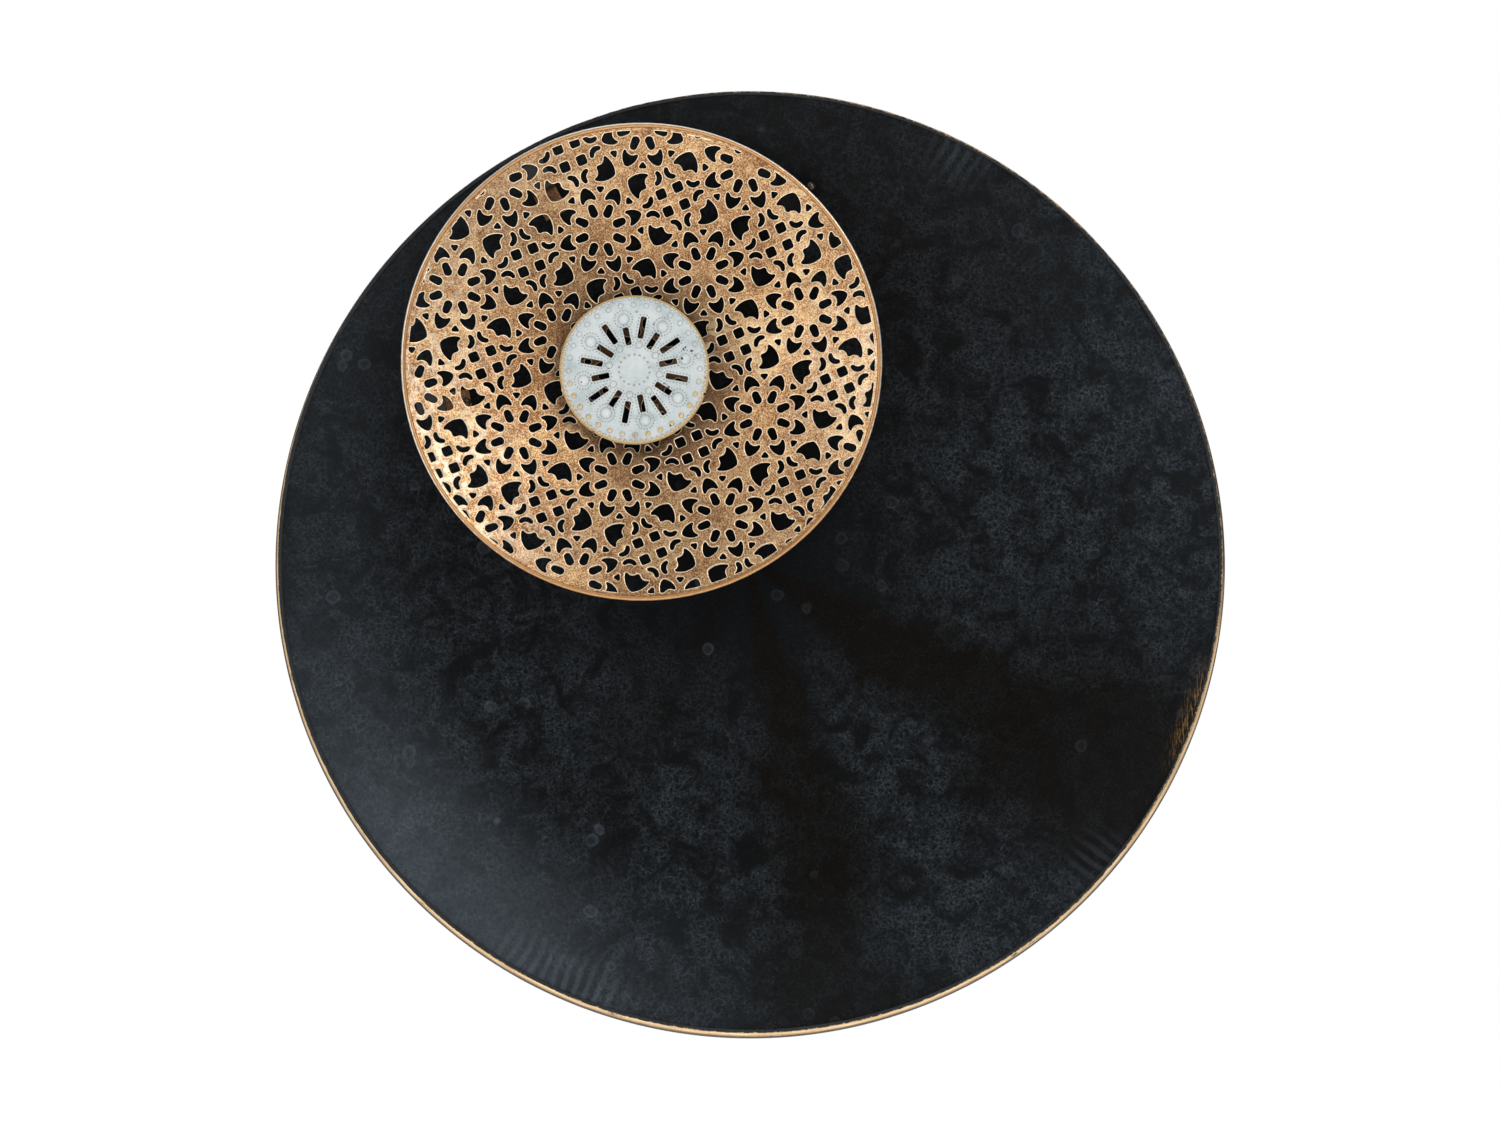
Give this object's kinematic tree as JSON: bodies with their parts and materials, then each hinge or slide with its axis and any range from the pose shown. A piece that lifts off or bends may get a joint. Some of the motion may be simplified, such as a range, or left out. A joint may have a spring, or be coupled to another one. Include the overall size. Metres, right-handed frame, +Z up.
{
  "type": "metal wall relief",
  "caption": "Round wall-hung metal relief: a shallow dark dish with a gilded rim, a pierced coppery bowl off its middle, a white embossed boss in the bowl and a rear hanging ring.",
  "frame": {"origin": "the point on the inside of the hanging ring's top where the wall hook carries it, on the wall's plane", "axes": "+Z up, -Y out of the wall towards the room, +X to the right as seen from the room"},
  "size_m": [0.6199, 0.0554, 0.62],
  "materials": {
    "black_lacquer": "black lacquer with cloudy blue-grey patina",
    "gilded_band": "worn gold paint over dark steel",
    "copper_leaf": "mottled antique copper leaf",
    "worn_rim": "copper paint worn to bright metal",
    "chalk_white": "chalky white paint worn to gold on the high spots",
    "copper_strap": "copper paint",
    "dark_screw": "blackened steel",
    "black_steel": "black paint",
    "zinc": "zinc plated",
    "rubber": "matt black rubber"
  },
  "bodies": {
    "relief": {"back_dish": "black_lacquer", "rim_band": "gilded_band", "pierced_bowl": "copper_leaf", "bowl_rim_wire": "worn_rim", "boss_disc": "chalk_white", "boss_stud": "zinc", "boss_spacer": "zinc", "boss_washer": "zinc", "bowl_spacer": "copper_strap", "stud_washer": "zinc", "stud_nut": "zinc", "leg_upper_right": "copper_strap", "leg_upper_left": "copper_strap", "leg_left": "copper_strap", "screw_upper_right": "dark_screw", "screw_upper_left": "dark_screw", "screw_left": "dark_screw", "washer_upper_right": "zinc", "washer_upper_left": "zinc", "washer_left": "zinc", "nut_upper_right": "zinc", "nut_upper_left": "zinc", "nut_left": "zinc", "crossbar": "black_steel", "crossbar_rivet_left": "zinc", "crossbar_rivet_right": "zinc", "hanger_strap": "zinc", "hanger_rivet_upper": "zinc", "hanger_rivet_lower": "zinc", "pad_upper_right": "rubber", "pad_upper_left": "rubber", "pad_lower_left": "rubber", "pad_lower_right": "rubber"},
    "ring": {"hanging_ring": "zinc"}
  },
  "joints": [
    {"name": "ring_swing", "type": "hinge", "parent": "relief", "child": "ring", "pos_m": [0, -0.00578, -0.014], "axis": [-1, 0, 0], "range_deg": [-25, 150]}
  ]
}
